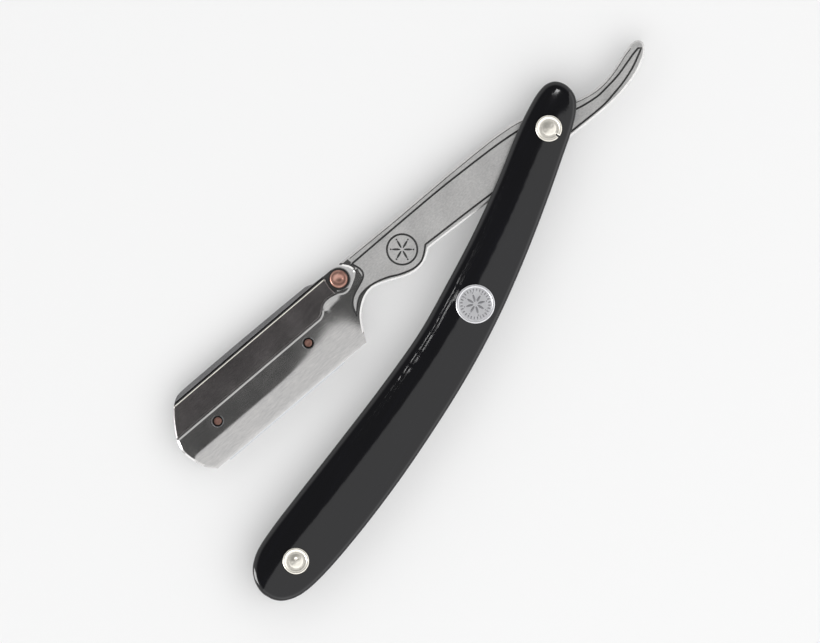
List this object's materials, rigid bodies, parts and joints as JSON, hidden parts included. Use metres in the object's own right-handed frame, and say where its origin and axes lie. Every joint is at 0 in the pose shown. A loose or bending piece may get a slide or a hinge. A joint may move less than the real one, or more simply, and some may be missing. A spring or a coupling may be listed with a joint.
{
  "type": "straight razor",
  "caption": "Folding barber's razor: crowned black scales, steel arm with a curled tail, and a square-heeled blade holder whose carrier swings open on a copper rivet.",
  "frame": {"origin": "on the pivot pin's axis, at the flat rear head of the pin, which is the lowest plane", "axes": "+X from the pivot pin to the end pin along the scales, +Y to the convex side of the scales, +Z out of the front face"},
  "size_m": [0.167, 0.0602, 0.009],
  "materials": {
    "black_resin": "high gloss moulded resin",
    "satin_steel": "fine satin",
    "bright_steel": "polished",
    "copper": "polished copper",
    "brass": "rolled sheet",
    "blade_steel": "ground strip"
  },
  "bodies": {
    "handle": {"front_scale": "black_resin", "rear_scale": "black_resin", "end_wedge": "black_resin", "scale_badge": "bright_steel", "pivot_pin": "bright_steel", "pivot_front_collar": "bright_steel", "pivot_rear_collar": "bright_steel", "pivot_front_washer": "brass", "pivot_rear_washer": "brass", "end_pin": "bright_steel", "end_front_collar": "bright_steel", "end_rear_collar": "bright_steel"},
    "blade_arm": {"tang_body": "satin_steel", "carrier_rivet": "copper"},
    "carrier": {"blade_carrier": "satin_steel", "blade_post_heel": "copper", "blade_post_toe": "copper", "half_blade": "blade_steel"}
  },
  "joints": [
    {"name": "fold_hinge", "type": "hinge", "parent": "handle", "child": "blade_arm", "pos_m": [0, 0, 0.0045], "axis": [0, 0, -1], "range_deg": [-17.3, 252.7]},
    {"name": "carrier_hinge", "type": "hinge", "parent": "blade_arm", "child": "carrier", "pos_m": [0.05894, -0.02633, 0.0045], "axis": [0, 0, -1], "range_deg": [0, 60]}
  ]
}
